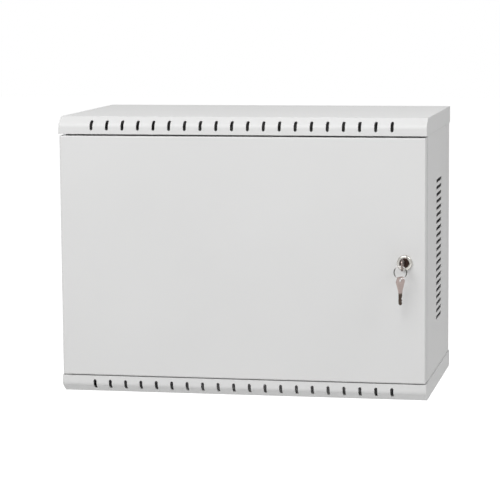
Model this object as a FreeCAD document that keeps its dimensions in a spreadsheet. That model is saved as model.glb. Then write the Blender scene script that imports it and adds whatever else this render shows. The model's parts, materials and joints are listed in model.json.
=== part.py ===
import FreeCAD, Part
import Sketcher
import math
import os
import re

# A wall mount network cabinet with a hinged front door, in millimetres.
# +Z is up, the front faces -Y, and the origin is the middle of the wall bolt pattern,
# on the back panel's rear face. The cabinet spans Y from -depth to 0.

SIZES = {
    # cabinet
    "width": 540,
    "height": 407,
    "depth": 306,
    "cover_sheet": 1.5,
    "cover_edge": 1,
    "panel_sheet": 1.2,
    "fit_gap": 0.3,
    # covers: the front edge creases down, bends into a lip and folds back as a ledge
    "lip_height": 25.2,
    "lip_bend": 8,
    "crease_back": 16,
    "crease_slope": 35,
    "ledge_depth": 15,
    # ventilation slots that wrap over the covers' front bend
    "front_slot_count": 20,
    "front_slot_pitch": 23.2,
    "front_slot_width": 4.5,
    "front_slot_top": 6.9,
    "front_slot_bottom": 17,
    "front_slot_clear": 8,
    "front_slot_cut": 3.6,
    # side panels and their ventilation slots
    "side_flange": 17,
    "side_slot_count": 21,
    "side_slot_pitch": 10.2,
    "side_slot_width": 5.2,
    "side_slot_length": 64,
    "side_slot_back": 168,
    # door
    "door_sheet": 1.2,
    "door_gap": 2.5,
    "door_rest": 1.2,
    "door_depth": 18,
    "door_bend": 2,
    "door_return": 12,
    "seal_gap": 3,
    "stiffener_width": 40,
    "stiffener_foot": 12,
    "stiffener_depth": 12,
    "buffer_radius": 4,
    "buffer_inset": 15.5,
    # hinge pins
    "hinge_inset": 7,
    "pin_radius": 2.5,
    "pin_clearance": 0.08,
    "pin_reach": 2.5,
    "pin_head_radius": 4.5,
    "pin_head": 1.5,
    "pin_drop": 34,
    "pin_tail": 10,
    "pin_lever": 16,
    "collar_height": 2,
    "spring_radius": 4.2,
    "spring_wire": 0.5,
    "spring_turns": 5,
    "bracket_sheet": 2,
    "bracket_width": 14,
    # wall bolts and cable ways
    "wall_hole_radius": 4.5,
    "wall_hole_side": 51,
    "wall_hole_end": 53.5,
    "cable_way_width": 300,
    "cable_way_height": 80,
    "cable_way_rise": 98.5,
    "cable_way_corner": 10,
    "entry_width": 240,
    "entry_depth": 50,
    "entry_back": 70,
    "entry_plate_margin": 14,
    # 19 inch rails: 465.1 between the hole columns and 450 between the rails at this width
    "rack_unit": 44.45,
    "rack_hole_side": 37.45,
    "rack_hole_step": 15.875,
    "square_hole": 9.5,
    "rail_side": 12,
    "rail_sheet": 2,
    "rail_width": 33,
    "rail_depth": 30,
    "rail_end": 19.7,
    "rail_hole_back": 18,
    # bars that carry the rails
    "bar_sheet": 1.5,
    "bar_drop": 53.5,
    "bar_web": 24,
    "bar_foot": 10,
    "bar_front": 30,
    "bar_back": 20,
    "bar_slot_count": 4,
    "bar_slot_pitch": 56,
    "bar_slot_first": 50,
    "bar_slot_length": 44,
    # fasteners
    "rail_bolt_radius": 3,
    "rail_bolt_head": 3.5,
    "rail_bolt_head_radius": 5.5,
    "rail_nut_width": 10,
    "rail_nut_height": 5,
    "stud_radius": 2.5,
    "stud_length": 12,
    "stud_nut_width": 8,
    "stud_nut_height": 4,
    "hole_clearance": 0.25,
    "thread_fit": 0.05,
    "stud_inset": 35,
    "back_stud_drop": 93.5,
    "flange_stud_side": 150,
    "earth_radius": 3,
    "earth_length": 14,
    "earth_inset": 34,
    # cam lock
    "lock_inset": 31.2,
    "lock_drop": 2,
    "lock_head_radius": 11,
    "lock_head": 4.5,
    "lock_rim": 2.4,
    "lock_recess": 0.8,
    "barrel_radius": 9,
    "barrel_flat": 8,
    "barrel_length": 22.5,
    "plug_radius": 7,
    "plug_clearance": 0.06,
    "lock_nut_width": 23,
    "lock_nut_height": 4,
    "cam_sheet": 2.5,
    "cam_width": 16,
    "cam_reach": 24,
    "cam_square": 8,
    "cam_clearance": 0.1,
    "cam_screw_radius": 2.5,
    "cam_screw_length": 7,
    "cam_washer_radius": 6.5,
    "cam_washer": 1,
    # keys and their ring
    "key_sheet": 2,
    "key_blade": 17,
    "key_blade_width": 6,
    "key_tip_width": 1,
    "key_stand": 7,
    "key_neck": 3,
    "key_neck_width": 7.2,
    "key_bow": 24,
    "key_bow_width": 18,
    "key_bow_widest": 16.5,
    "key_bow_end_width": 10.8,
    "key_bow_corner": 3.6,
    "key_hole_radius": 3,
    "key_hole_edge": 4.6,
    "key_play": 0.1,
    "key_end_play": 0.4,
    "key_twist": -33,
    "ring_radius": 9,
    "ring_wire": 0.8,
    "ring_play": 0.7,
    "ring_lean": 15,
}

NEAR = 0.01  # mm: places closer than this are taken as one
LEAST_CUT = 0.01  # mm3: a pocket that removes less than this has missed its body

doc = FreeCAD.newDocument("wall_cabinet")
dims = doc.addObject("Spreadsheet::Sheet", "dims")
for row, (alias, number) in enumerate(SIZES.items(), start=1):
    dims.set(f"A{row}", alias)
    dims.set(f"B{row}", str(number))
    dims.setAlias(f"B{row}", alias)
doc.recompute()


# ---- expressions over the sheet ----

def sized(text):
    """The text with each size's name pointed at its cell."""
    return re.sub(r"[a-z_]+", lambda word: f"dims.{word[0]}" if word[0] in SIZES else word[0], text)


def value(text):
    return float(dims.evalExpression(sized(text)))


HALF = "(width/2)"
TOP = "(height/2)"
COVER_IN = f"({TOP}-cover_sheet)"
PANEL_FACE = f"({HALF}-cover_sheet)"
PANEL_IN = f"({PANEL_FACE}-panel_sheet)"
LIP = f"({TOP}-lip_height)"
FRONT = "(-depth)"
BACK_IN = "(-panel_sheet)"
DOOR_TOP = f"({LIP}-door_gap)"
DOOR_LOW = f"(-({LIP}-door_rest))"
DOOR_BACK = f"({FRONT}+door_depth)"
DOOR_SKIN = f"({FRONT}+door_sheet)"
PANEL_FRONT = f"({DOOR_BACK}+seal_gap)"
STUD_X = f"({PANEL_FACE}-side_flange/2)"
STUD_FRONT = f"({PANEL_FRONT}+stud_inset)"
STUD_BACK = "(-stud_inset)"
STUD_HOLE = "(stud_radius+hole_clearance)"
FLANGE_STUD_X = f"({HALF}-flange_stud_side)"
FLANGE_STUD_Z = f"({TOP}-lip_height/2)"
BACK_STUD_Z = f"({TOP}-back_stud_drop)"
HINGE_X = f"(-({PANEL_FACE}-hinge_inset))"
HINGE_Y = f"({FRONT}+hinge_inset)"
PIN_HOLE = "(pin_radius+pin_clearance)"
PIN_LEG = f"({DOOR_TOP}-door_sheet-pin_drop)"
RACK_UNITS = f"floor(2*{LIP}/rack_unit)"
RAIL_OUT = f"({HALF}-rail_side)"
RAIL_IN = f"({RAIL_OUT}-rail_width)"
RAIL_HALF = f"({TOP}-rail_end)"
BAR_LEVEL = f"({TOP}-bar_drop)"
BAR_FRONT = f"({FRONT}+bar_front)"
RAIL_BOLT_Y = f"({BAR_FRONT}+bar_slot_first)"
RAIL_FRONT = f"({RAIL_BOLT_Y}-rail_hole_back)"
RAIL_BOLT_HOLE = "(rail_bolt_radius+hole_clearance)"
ENTRY_STUD_X = "(entry_width/2+entry_plate_margin/2)"
LOCK_X = f"({HALF}-lock_inset)"
LOCK_Z = "(-lock_drop)"
LOCK_FACE = f"({FRONT}-lock_head)"
PLUG_FACE = f"({LOCK_FACE}+lock_recess)"
BARREL_END = f"({FRONT}+barrel_length)"
CAM_BACK = f"({BARREL_END}+cam_clearance+cam_sheet)"
KEY_SEAT = f"({PLUG_FACE}-key_stand)"
KEY_HOLE_OUT = "(key_bow-key_hole_edge)"
WIRE_DROP = "(key_hole_radius-ring_wire-ring_play)"
RING_X = f"({LOCK_X}-ring_radius*sin(ring_lean))"
RING_Y = f"({KEY_SEAT}-{KEY_HOLE_OUT})"
RING_Z = f"({LOCK_Z}-{WIRE_DROP}-ring_radius*cos(ring_lean))"


# ---- sketches and features ----

def bind(thing, name, text):
    thing.setExpression(name, sized(text))


def new_body(label):
    body = doc.addObject("PartDesign::Body", label)
    body.Label = label
    return body


def new_sketch(body, plane, level):
    """A sketch on the body's own plane, moved along the plane's normal by level."""
    sketch = body.newObject("Sketcher::SketchObject", f"{body.Name}_sketch")
    wanted = [part for part in body.Origin.OriginFeatures if part.Role == plane]
    sketch.AttachmentSupport = [(wanted[0], "")]
    sketch.MapMode = "FlatFace"
    bind(sketch, "AttachmentOffset.Base.z", level)
    return sketch


def new_tilted_sketch(body, plane, up, out, lean, way):
    """A sketch that starts at up and out from the plane's origin and leans about its level axis."""
    sketch = new_sketch(body, plane, out)
    turn = FreeCAD.Rotation(FreeCAD.Vector(way, 0, 0), value(lean))
    sketch.AttachmentOffset = FreeCAD.Placement(FreeCAD.Vector(0, 0, 0), turn)
    bind(sketch, "AttachmentOffset.Rotation.Angle", lean)
    bind(sketch, "AttachmentOffset.Base.y", up)
    return sketch


def fix_value(sketch, kind, targets, text):
    index = sketch.addConstraint(Sketcher.Constraint(kind, *targets, value(text)))
    bind(sketch, f"Constraints[{index}]", text)


def fix_point(sketch, shape, point, place):
    for kind, text in zip(("DistanceX", "DistanceY"), place):
        fix_value(sketch, kind, (-1, 1, shape, point), text)


def draw_polygon(sketch, corners):
    first = sketch.GeometryCount
    spots = [FreeCAD.Vector(value(u), value(v), 0) for u, v in corners]
    count = len(spots)
    for index in range(count):
        sketch.addGeometry(Part.LineSegment(spots[index], spots[(index + 1) % count]), False)
    for index in range(count):
        pair = (first + index, 2, first + (index + 1) % count, 1)
        sketch.addConstraint(Sketcher.Constraint("Coincident", *pair))
    for index, corner in enumerate(corners):
        fix_point(sketch, first + index, 1, corner)


def draw_box(sketch, left, right, low, high):
    draw_polygon(sketch, [(left, low), (right, low), (right, high), (left, high)])


def draw_circle(sketch, centre, radius):
    spot = FreeCAD.Vector(value(centre[0]), value(centre[1]), 0)
    circle = sketch.addGeometry(Part.Circle(spot, FreeCAD.Vector(0, 0, 1), value(radius)), False)
    fix_point(sketch, circle, 3, centre)
    fix_value(sketch, "Radius", (circle,), radius)


def draw_slot(sketch, start, end, radius):
    """A slot with round ends, whose end centres are start and end."""
    spots = [FreeCAD.Vector(value(u), value(v), 0) for u, v in (start, end)]
    along = (spots[1] - spots[0]).normalize()
    across = FreeCAD.Vector(-along.y, along.x, 0) * value(radius)
    heading = math.atan2(along.y, along.x)
    arcs = []
    for spot, turn in zip(spots, (heading + math.pi / 2, heading - math.pi / 2)):
        circle = Part.Circle(spot, FreeCAD.Vector(0, 0, 1), value(radius))
        arcs.append(sketch.addGeometry(Part.ArcOfCircle(circle, turn, turn + math.pi), False))
    low = sketch.addGeometry(Part.LineSegment(spots[0] - across, spots[1] - across), False)
    high = sketch.addGeometry(Part.LineSegment(spots[1] + across, spots[0] + across), False)
    for joint in ((arcs[0], 2, low, 1), (low, 2, arcs[1], 1), (arcs[1], 2, high, 1), (high, 2, arcs[0], 1)):
        sketch.addConstraint(Sketcher.Constraint("Tangent", *joint))
    sketch.addConstraint(Sketcher.Constraint("Equal", arcs[0], arcs[1]))
    fix_point(sketch, arcs[0], 3, start)
    fix_point(sketch, arcs[1], 3, end)
    fix_value(sketch, "Radius", (arcs[0],), radius)


def draw_flatted_circle(sketch, centre, radius, flat):
    """A circle with two level flats, each at the distance flat from its centre."""
    spot = FreeCAD.Vector(value(centre[0]), value(centre[1]), 0)
    bend = math.asin(value(flat) / value(radius))
    circle = Part.Circle(spot, FreeCAD.Vector(0, 0, 1), value(radius))
    right = sketch.addGeometry(Part.ArcOfCircle(circle, -bend, bend), False)
    left = sketch.addGeometry(Part.ArcOfCircle(circle, math.pi - bend, math.pi + bend), False)
    reach = FreeCAD.Vector(value(radius) * math.cos(bend), value(flat), 0)
    mirrored = FreeCAD.Vector(-reach.x, reach.y, 0)
    high = sketch.addGeometry(Part.LineSegment(spot + reach, spot + mirrored), False)
    low = sketch.addGeometry(Part.LineSegment(spot - reach, spot - mirrored), False)
    for joint in ((right, 2, high, 1), (high, 2, left, 1), (left, 2, low, 1), (low, 2, right, 1)):
        sketch.addConstraint(Sketcher.Constraint("Coincident", *joint))
    sketch.addConstraint(Sketcher.Constraint("Coincident", right, 3, left, 3))
    sketch.addConstraint(Sketcher.Constraint("Horizontal", high))
    sketch.addConstraint(Sketcher.Constraint("Horizontal", low))
    sketch.addConstraint(Sketcher.Constraint("Equal", right, left))
    fix_point(sketch, right, 3, centre)
    fix_value(sketch, "Radius", (right,), radius)
    fix_value(sketch, "DistanceY", (right, 3, high, 1), flat)
    fix_value(sketch, "DistanceY", (low, 1, right, 3), flat)


def add_pad(body, sketch, length, middle=False):
    pad = body.newObject("PartDesign::Pad", f"{body.Name}_pad")
    pad.Profile = sketch
    pad.SideType = "Symmetric" if middle else "One side"
    bind(pad, "Length", length)
    doc.recompute()
    return pad


def add_revolution(body, sketch):
    """A full turn of the sketch about its own V axis."""
    turned = body.newObject("PartDesign::Revolution", f"{body.Name}_turned")
    turned.Profile = sketch
    turned.ReferenceAxis = (sketch, ["V_Axis"])
    turned.Angle = 360
    doc.recompute()
    return turned


def add_pocket(body, sketch, length, middle=False, forward=False):
    """Cuts against the sketch's normal, both ways from its plane, or forward along the normal."""
    before = body.Shape.Volume
    pocket = body.newObject("PartDesign::Pocket", f"{body.Name}_pocket")
    pocket.Profile = sketch
    pocket.SideType = "Symmetric" if middle else "One side"
    pocket.Reversed = forward
    bind(pocket, "Length", length)
    doc.recompute()
    if before - pocket.Shape.Volume < LEAST_CUT:
        raise ValueError(f"{pocket.Name} cuts nothing")
    return pocket


def add_row(body, feature, sketch, axis, count, pitch):
    """Repeats the feature along the sketch's axis."""
    row = body.newObject("PartDesign::LinearPattern", f"{body.Name}_row")
    row.Originals = [feature]
    row.Direction = (sketch, [axis])
    bind(row, "Length", f"({count}-1)*{pitch}")
    bind(row, "Occurrences", count)
    body.Tip = row
    doc.recompute()
    return row


def add_fillet(body, radius, wanted):
    """Rounds the edges of the body so far for which wanted(edge) is true."""
    base = body.Tip
    names = [f"Edge{number}" for number, edge in enumerate(base.Shape.Edges, start=1) if wanted(edge)]
    fillet = body.newObject("PartDesign::Fillet", f"{body.Name}_fillet")
    fillet.Base = (base, names)
    bind(fillet, "Radius", radius)
    doc.recompute()
    return fillet


def add_box(body, across, along, up):
    """A pad over the ranges across (X), along (Y) and up (Z), each a pair of sizes."""
    sketch = new_sketch(body, "XY_Plane", up[0])
    draw_box(sketch, *across, *along)
    return add_pad(body, sketch, f"({up[1]})-({up[0]})")


def is_near(number, text):
    return abs(number - value(text)) < NEAR


def runs_along(edge, axis):
    """Whether an edge has a length along that axis only."""
    box = edge.BoundBox
    lengths = {"X": box.XLength, "Y": box.YLength, "Z": box.ZLength}
    return all((length > NEAR) == (name == axis) for name, length in lengths.items())


def crosses(edge, along, up):
    """Whether an edge runs along X through the place (along, up) in Y and Z."""
    box = edge.BoundBox
    return runs_along(edge, "X") and is_near(box.YMin, along) and is_near(box.ZMin, up)


# ---- plain solids ----

TURNS = {
    "+Z": FreeCAD.Rotation(),
    "-Z": FreeCAD.Rotation(FreeCAD.Vector(1, 0, 0), 180),
    "+X": FreeCAD.Rotation(FreeCAD.Vector(0, 1, 0), 90),
    "-X": FreeCAD.Rotation(FreeCAD.Vector(0, 1, 0), -90),
    "+Y": FreeCAD.Rotation(FreeCAD.Vector(1, 0, 0), -90),
    "-Y": FreeCAD.Rotation(FreeCAD.Vector(1, 0, 0), 90),
}


def place(thing, spot, axis="+Z"):
    thing.Placement = FreeCAD.Placement(FreeCAD.Vector(0, 0, 0), TURNS[axis])
    for name, text in zip("xyz", spot):
        bind(thing, f"Placement.Base.{name}", text)
    return thing


def make_cylinder(radius, height, spot, axis="+Z"):
    solid = doc.addObject("Part::Cylinder", "cylinder")
    bind(solid, "Radius", radius)
    bind(solid, "Height", height)
    return place(solid, spot, axis)


def make_hexagon(width, height, spot, axis="+Z"):
    solid = doc.addObject("Part::Prism", "hexagon")
    solid.Polygon = 6
    bind(solid, "Circumradius", f"{width}/2/cos(30)")
    bind(solid, "Height", height)
    return place(solid, spot, axis)


def make_block(across, along, up):
    solid = doc.addObject("Part::Box", "block")
    for name, (low, high) in zip(("Length", "Width", "Height"), (across, along, up)):
        bind(solid, name, f"({high})-({low})")
    return place(solid, (across[0], along[0], up[0]))


def cut(base, *tools):
    for tool in tools:
        result = doc.addObject("Part::Cut", "cut")
        result.Base = base
        result.Tool = tool
        base = result
    return base


def fuse(*solids):
    result = doc.addObject("Part::MultiFuse", "fuse")
    result.Shapes = list(solids)
    return result


def make_nut(width, height, bore, spot, axis):
    blank = make_hexagon(width, height, spot, axis)
    return cut(blank, make_cylinder(f"({bore}+thread_fit)", height, spot, axis))


def group(label, solids):
    result = doc.addObject("Part::Compound", label)
    result.Links = list(solids)
    result.Label = label
    return result


def name_part(thing, label):
    thing.Label = label
    return thing


# ---- covers ----

def bounds_side(edge, open_level):
    """Whether an edge is on a cover's side face, but not at its open level or its back."""
    box = edge.BoundBox
    on_side = box.XLength < NEAR and is_near(abs(box.XMin), HALF)
    at_mouth = box.ZLength < NEAR and is_near(box.ZMin, open_level)
    at_back = box.YLength < NEAR and is_near(box.YMin, BACK_IN)
    return on_side and not at_mouth and not at_back


def make_cover(label, side):
    """A folded tray: side is 1 for the top cover and -1 for the bottom one."""
    def up(text):
        return f"({side}*({text}))"

    cover = new_body(label)
    crease_y = f"({FRONT}+crease_back)"
    corner_z = f"({TOP}-crease_back*tan(crease_slope))"
    outline = new_sketch(cover, "YZ_Plane", "0")
    draw_polygon(outline, [
        (BACK_IN, up(TOP)),
        (crease_y, up(TOP)),
        (FRONT, up(corner_z)),
        (FRONT, up(LIP)),
        (BACK_IN, up(LIP)),
    ])
    add_pad(cover, outline, "width", middle=True)
    add_fillet(cover, "lip_bend", lambda edge: crosses(edge, FRONT, up(corner_z)))
    add_fillet(cover, "cover_edge", lambda edge: bounds_side(edge, up(LIP)))

    inner_corner_z = f"({TOP}+(cover_sheet-crease_back)*tan(crease_slope)-cover_sheet/cos(crease_slope))"
    front_in = f"({FRONT}+cover_sheet)"
    inner_crease_y = f"({crease_y}+cover_sheet*tan(crease_slope/2))"
    ledge_back = f"({FRONT}+ledge_depth)"
    ledge_in = f"({LIP}+cover_sheet)"
    below = f"({LIP}-cover_sheet)"
    hollow = new_sketch(cover, "YZ_Plane", "0")
    draw_polygon(hollow, [
        (f"({BACK_IN}-cover_sheet)", up(COVER_IN)),
        (inner_crease_y, up(COVER_IN)),
        (front_in, up(inner_corner_z)),
        (front_in, up(ledge_in)),
        (ledge_back, up(ledge_in)),
        (ledge_back, up(below)),
        (f"({BACK_IN}-cover_sheet)", up(below)),
    ])
    add_pocket(cover, hollow, "width-2*cover_sheet", middle=True)
    add_fillet(cover, "lip_bend-cover_sheet", lambda edge: crosses(edge, front_in, up(inner_corner_z)))

    # the back flange stops short of the side panels
    flange_end = f"({PANEL_IN}-fit_gap)"
    ends = new_sketch(cover, "XZ_Plane", f"-({BACK_IN}-cover_sheet)")
    for hand in (1, -1):
        near, far = f"({hand}*{flange_end})", f"({hand}*({PANEL_FACE}))"
        draw_box(ends, near, far, up(below), up(COVER_IN))
    add_pocket(cover, ends, "cover_sheet")

    # one slot over the bend, on a plane through its two ends, then the row of them
    slot_in = "(crease_back-front_slot_top/tan(crease_slope))"
    slot_down = "(front_slot_bottom-front_slot_top)"
    lean = f"atan({slot_in}/{slot_down})"
    start_up = up(f"{TOP}-front_slot_bottom+front_slot_clear*sin({lean})")
    start_out = f"depth+front_slot_clear*cos({lean})"
    slot_sketch = new_tilted_sketch(cover, "XZ_Plane", start_up, start_out, lean, -side)
    first_x = "(-(front_slot_count-1)*front_slot_pitch/2)"
    slot_run = up(f"sqrt({slot_in}^2+{slot_down}^2)")
    draw_slot(slot_sketch, (first_x, "0"), (first_x, slot_run), "(front_slot_width/2)")
    slot = add_pocket(cover, slot_sketch, "front_slot_clear+front_slot_cut")
    add_row(cover, slot, slot_sketch, "H_Axis", "front_slot_count", "front_slot_pitch")

    # the ledge takes a hinge pin, and the back flange takes two studs
    pin_hole = new_sketch(cover, "XY_Plane", up(ledge_in) if side > 0 else up(LIP))
    draw_circle(pin_hole, (HINGE_X, HINGE_Y), PIN_HOLE)
    add_pocket(cover, pin_hole, "cover_sheet")
    stud_holes = new_sketch(cover, "XZ_Plane", f"-({BACK_IN}-cover_sheet)")
    for hand in (1, -1):
        draw_circle(stud_holes, (f"({hand}*{FLANGE_STUD_X})", up(FLANGE_STUD_Z)), STUD_HOLE)
    add_pocket(cover, stud_holes, "cover_sheet")
    return cover


top_cover = make_cover("top_cover", 1)
bottom_cover = make_cover("bottom_cover", -1)

# the bottom cover has a cable entry near the back
entry = new_sketch(bottom_cover, "XY_Plane", f"-{COVER_IN}")
draw_box(entry, "-entry_width/2", "entry_width/2", "-entry_back-entry_depth/2", "-entry_back+entry_depth/2")
add_pocket(bottom_cover, entry, "cover_sheet")


# ---- side panels ----

def make_side_panel(label, side):
    """A panel with four inward flanges: side is 1 for the right panel and -1 for the left one."""
    def out(text):
        return f"({side}*({text}))"

    panel = new_body(label)
    flange_edge = f"({PANEL_FACE}-side_flange)"
    across = (out(flange_edge), out(PANEL_FACE)) if side > 0 else (out(PANEL_FACE), out(flange_edge))
    wall = (out(PANEL_IN), out(PANEL_FACE)) if side > 0 else (out(PANEL_FACE), out(PANEL_IN))
    full_height = (f"(-{COVER_IN})", COVER_IN)
    back_height = (f"(-({LIP}-fit_gap))", f"({LIP}-fit_gap)")
    level_run = (PANEL_FRONT, f"({BACK_IN}-cover_sheet-fit_gap)")
    add_box(panel, wall, (PANEL_FRONT, BACK_IN), full_height)
    add_box(panel, across, (PANEL_FRONT, f"({PANEL_FRONT}+panel_sheet)"), full_height)
    add_box(panel, across, (f"({BACK_IN}-panel_sheet)", BACK_IN), back_height)
    add_box(panel, across, level_run, (f"({COVER_IN}-panel_sheet)", COVER_IN))
    add_box(panel, across, level_run, (f"(-{COVER_IN})", f"(-({COVER_IN}-panel_sheet))"))

    slot_sketch = new_sketch(panel, "YZ_Plane", wall[1])
    slot_z = "(-(side_slot_count-1)*side_slot_pitch/2)"
    slot_y = f"({FRONT}+side_slot_back)"
    half_run = "(side_slot_length-side_slot_width)/2"
    draw_slot(slot_sketch, (f"{slot_y}-{half_run}", slot_z), (f"{slot_y}+{half_run}", slot_z),
              "(side_slot_width/2)")
    slot = add_pocket(panel, slot_sketch, "panel_sheet")
    add_row(panel, slot, slot_sketch, "V_Axis", "side_slot_count", "side_slot_pitch")

    for level in (COVER_IN, f"(-({COVER_IN}-panel_sheet))"):
        holes = new_sketch(panel, "XY_Plane", level)
        for along in (STUD_FRONT, STUD_BACK):
            draw_circle(holes, (out(STUD_X), along), STUD_HOLE)
        add_pocket(panel, holes, "panel_sheet")
    back_holes = new_sketch(panel, "XZ_Plane", f"-({BACK_IN}-panel_sheet)")
    for hand in (1, -1):
        draw_circle(back_holes, (out(STUD_X), f"({hand}*{BACK_STUD_Z})"), STUD_HOLE)
    add_pocket(panel, back_holes, "panel_sheet")
    return panel


side_panel_right = make_side_panel("side_panel_right", 1)
side_panel_left = make_side_panel("side_panel_left", -1)


# ---- back panel ----

back_panel = new_body("back_panel")
add_box(back_panel, (f"(-{PANEL_FACE})", PANEL_FACE), (BACK_IN, "0"), (f"(-{COVER_IN})", COVER_IN))
wall_holes = new_sketch(back_panel, "XZ_Plane", f"-{BACK_IN}")
for hand in (1, -1):
    for rise in (1, -1):
        draw_circle(wall_holes, (f"({hand}*({HALF}-wall_hole_side))", f"({rise}*({TOP}-wall_hole_end))"),
                    "wall_hole_radius")
add_pocket(back_panel, wall_holes, "panel_sheet")
cable_way = new_sketch(back_panel, "XZ_Plane", f"-{BACK_IN}")
way_low, way_high = (f"(-{TOP}+cable_way_rise{end}cable_way_height/2)" for end in "-+")
draw_box(cable_way, "(-cable_way_width/2)", "(cable_way_width/2)", way_low, way_high)
add_pocket(back_panel, cable_way, "panel_sheet")
add_fillet(back_panel, "cable_way_corner",
           lambda edge: runs_along(edge, "Y") and is_near(abs(edge.BoundBox.XMin), "cable_way_width/2"))


# ---- rack rails and the bars that carry them ----

def make_rail(label, side):
    """An L section with the square holes of each rack unit in its face."""
    def out(text):
        return f"({side}*({text}))"

    def span(low, high):
        return (out(low), out(high)) if side > 0 else (out(high), out(low))

    rail = new_body(label)
    heights = (f"(-{RAIL_HALF})", RAIL_HALF)
    add_box(rail, span(RAIL_IN, RAIL_OUT), (RAIL_FRONT, f"({RAIL_FRONT}+rail_sheet)"), heights)
    web = span(f"({RAIL_OUT}-rail_sheet)", RAIL_OUT)
    add_box(rail, web, (RAIL_FRONT, f"({RAIL_FRONT}+rail_depth)"), heights)
    squares = new_sketch(rail, "XZ_Plane", f"-{RAIL_FRONT}")
    half = "square_hole/2"
    for step in (-1, 0, 1):
        level = f"(-({RACK_UNITS}-1)*rack_unit/2+({step})*rack_hole_step)"
        centre = out(f"{HALF}-rack_hole_side")
        draw_box(squares, f"{centre}-{half}", f"{centre}+{half}", f"{level}-{half}", f"{level}+{half}")
    unit = add_pocket(rail, squares, "rail_sheet")
    add_row(rail, unit, squares, "V_Axis", RACK_UNITS, "rack_unit")
    bolts = new_sketch(rail, "YZ_Plane", web[1])
    for rise in (1, -1):
        draw_circle(bolts, (RAIL_BOLT_Y, f"({rise}*{BAR_LEVEL})"), RAIL_BOLT_HOLE)
    add_pocket(rail, bolts, "rail_sheet")
    return rail


def make_depth_bar(label, side, rise):
    """A hat section along Y, with its feet on the side panel and the rail on its crown."""
    def spot(across, up):
        return f"({side}*({across}))", f"({rise}*{BAR_LEVEL}+{up})"

    bar = new_body(label)
    crown_in = f"({RAIL_OUT}+bar_sheet)"
    foot_in = f"({PANEL_IN}-bar_sheet)"
    web, inner_web = "bar_web/2", "(bar_web/2-bar_sheet)"
    foot = "(bar_web/2+bar_foot)"
    outline = new_sketch(bar, "XZ_Plane", "bar_back")
    draw_polygon(outline, [
        spot(RAIL_OUT, f"-{web}"), spot(RAIL_OUT, web), spot(foot_in, web), spot(foot_in, foot),
        spot(PANEL_IN, foot), spot(PANEL_IN, inner_web), spot(crown_in, inner_web),
        spot(crown_in, f"-{inner_web}"), spot(PANEL_IN, f"-{inner_web}"), spot(PANEL_IN, f"-{foot}"),
        spot(foot_in, f"-{foot}"), spot(foot_in, f"-{web}"),
    ])
    add_pad(bar, outline, f"-({BAR_FRONT})-bar_back")
    level = f"({side}*{crown_in})" if side > 0 else f"({side}*{RAIL_OUT})"
    slot_sketch = new_sketch(bar, "YZ_Plane", level)
    first_y, half_run = f"({BAR_FRONT}+bar_slot_first)", f"(bar_slot_length/2-{RAIL_BOLT_HOLE})"
    slot_z = f"({rise}*{BAR_LEVEL})"
    draw_slot(slot_sketch, (f"{first_y}-{half_run}", slot_z), (f"{first_y}+{half_run}", slot_z),
              RAIL_BOLT_HOLE)
    slot = add_pocket(bar, slot_sketch, "bar_sheet")
    add_row(bar, slot, slot_sketch, "H_Axis", "bar_slot_count", "bar_slot_pitch")
    return bar


rack_rail_right = make_rail("rack_rail_right", 1)
rack_rail_left = make_rail("rack_rail_left", -1)
depth_bars = [make_depth_bar(f"depth_bar_{level}_{hand}", side, rise)
              for hand, side in (("right", 1), ("left", -1))
              for level, rise in (("upper", 1), ("lower", -1))]


def make_rail_bolt(side, rise):
    axis = "+X" if side > 0 else "-X"
    seat = f"({side}*({RAIL_OUT}-rail_sheet))"
    back = f"({side}*({RAIL_OUT}-rail_sheet-rail_bolt_head))"
    spot = (RAIL_BOLT_Y, f"({rise}*{BAR_LEVEL})")
    head = make_cylinder("rail_bolt_head_radius", "rail_bolt_head", (back, *spot), axis)
    length = "rail_sheet+bar_sheet+rail_nut_height+fit_gap"
    shank = make_cylinder("rail_bolt_radius", length, (seat, *spot), axis)
    return fuse(head, shank)


def make_rail_nut(side, rise):
    seat = (f"({side}*({RAIL_OUT}+bar_sheet))", RAIL_BOLT_Y, f"({rise}*{BAR_LEVEL})")
    return make_nut("rail_nut_width", "rail_nut_height", "rail_bolt_radius", seat, "+X" if side > 0 else "-X")


CORNERS = [(side, rise) for side in (1, -1) for rise in (1, -1)]
rail_bolts = group("rail_bolts", [make_rail_bolt(*corner) for corner in CORNERS])
rail_nuts = group("rail_nuts", [make_rail_nut(*corner) for corner in CORNERS])


# ---- welded studs and their nuts ----

def add_studs(name, places, axis, clamped):
    """Welded studs from the sheet at each place, and nuts that clamp the sheet on them."""
    step = {"+Z": (0, 0, 1), "-Z": (0, 0, -1), "-Y": (0, -1, 0)}
    studs, nuts = [], []
    for spot, heading in zip(places, axis):
        seat = [f"({text}+({way})*({clamped}))" for text, way in zip(spot, step[heading])]
        studs.append(make_cylinder("stud_radius", "stud_length", spot, heading))
        nuts.append(make_nut("stud_nut_width", "stud_nut_height", "stud_radius", seat, heading))
    return group(f"{name}_studs", studs), group(f"{name}_nuts", nuts)


cover_places = [(f"({side}*{STUD_X})", along, f"({rise}*{COVER_IN})")
                for side, rise in CORNERS for along in (STUD_FRONT, STUD_BACK)]
cover_axes = ["-Z" if "(1*" in spot[2] else "+Z" for spot in cover_places]
cover_studs, cover_nuts = add_studs("cover", cover_places, cover_axes, "panel_sheet")
side_places = [(f"({side}*{STUD_X})", BACK_IN, f"({rise}*{BACK_STUD_Z})") for side, rise in CORNERS]
back_studs, back_nuts = add_studs("back", side_places, ["-Y"] * len(side_places), "panel_sheet")
flange_places = [(f"({side}*{FLANGE_STUD_X})", BACK_IN, f"({rise}*{FLANGE_STUD_Z})")
                 for side, rise in CORNERS]
flange_studs, flange_nuts = add_studs("flange", flange_places, ["-Y"] * len(flange_places), "cover_sheet")


# ---- cable entry plate ----

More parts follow.
